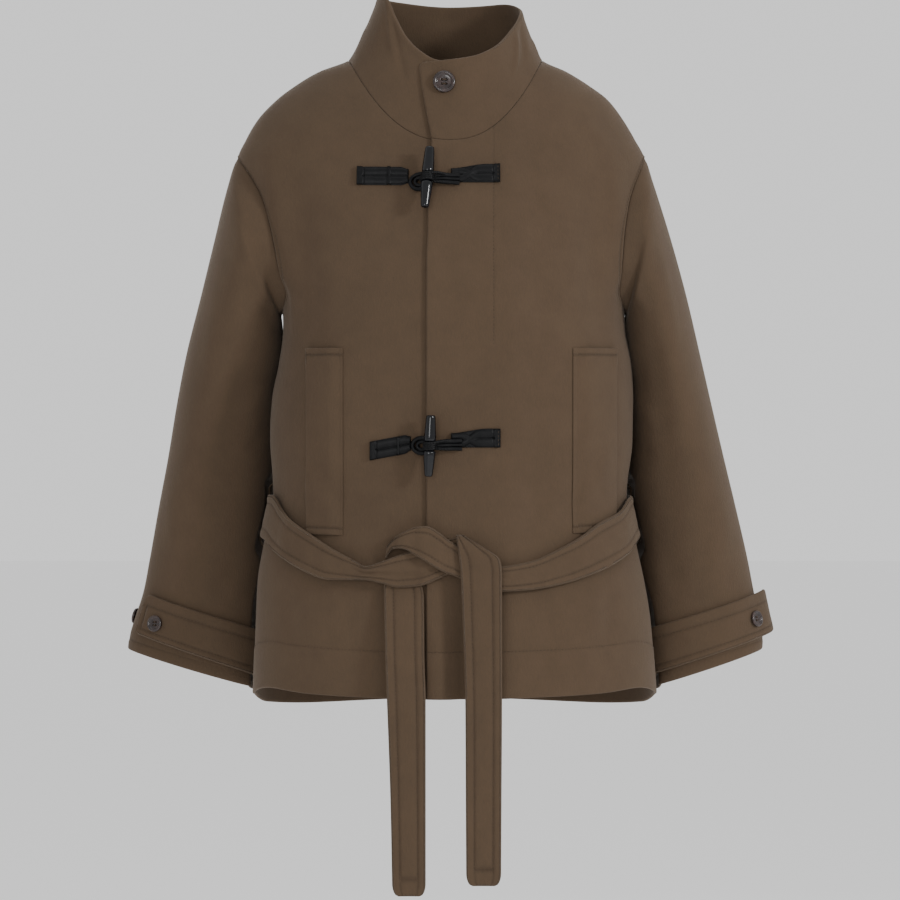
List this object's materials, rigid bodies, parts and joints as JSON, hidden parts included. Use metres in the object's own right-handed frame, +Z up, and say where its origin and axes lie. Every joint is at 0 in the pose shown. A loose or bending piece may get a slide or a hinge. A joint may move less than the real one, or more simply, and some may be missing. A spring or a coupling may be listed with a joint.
{
  "type": "duffle coat",
  "caption": "Short brown wool duffle coat, filled out and empty, with a funnel collar, horn toggles on stitched straps, a tie belt and buttoned cuff tabs.",
  "frame": {"origin": "midway between the neck ends of the two shoulder seams, where the wearer's shoulders hold the coat", "axes": "+Z up, -Y to the front, +X to the coat's own left"},
  "size_m": [0.7177, 0.2996, 0.969],
  "materials": {
    "wool": "matt",
    "strap_leather": "satin",
    "toggle_gloss": "gloss",
    "horn": "gloss"
  },
  "bodies": {
    "root": {"front_left": "wool", "front_right": "wool", "back": "wool", "sleeve_left": "wool", "sleeve_right": "wool", "collar": "wool", "collar_button": "horn", "pocket_welt_left": "wool", "pocket_welt_right": "wool", "belt_back": "wool", "belt_front_left": "wool", "belt_front_right": "wool", "belt_tail_left": "wool", "belt_tail_right": "wool", "belt_loop_left": "wool", "belt_loop_right": "wool", "cuff_tab_left": "wool", "cuff_tab_right": "wool", "cuff_button_left": "horn", "cuff_button_left_back": "horn", "cuff_button_right": "horn", "cuff_button_right_back": "horn", "toggle_upper": "toggle_gloss", "toggle_lower": "toggle_gloss", "toggle_cord_upper": "strap_leather", "toggle_cord_lower": "strap_leather", "toggle_patch_upper": "strap_leather", "toggle_patch_lower": "strap_leather", "loop_upper": "strap_leather", "loop_lower": "strap_leather", "loop_patch_upper": "strap_leather", "loop_patch_lower": "strap_leather"}
  },
  "joints": []
}
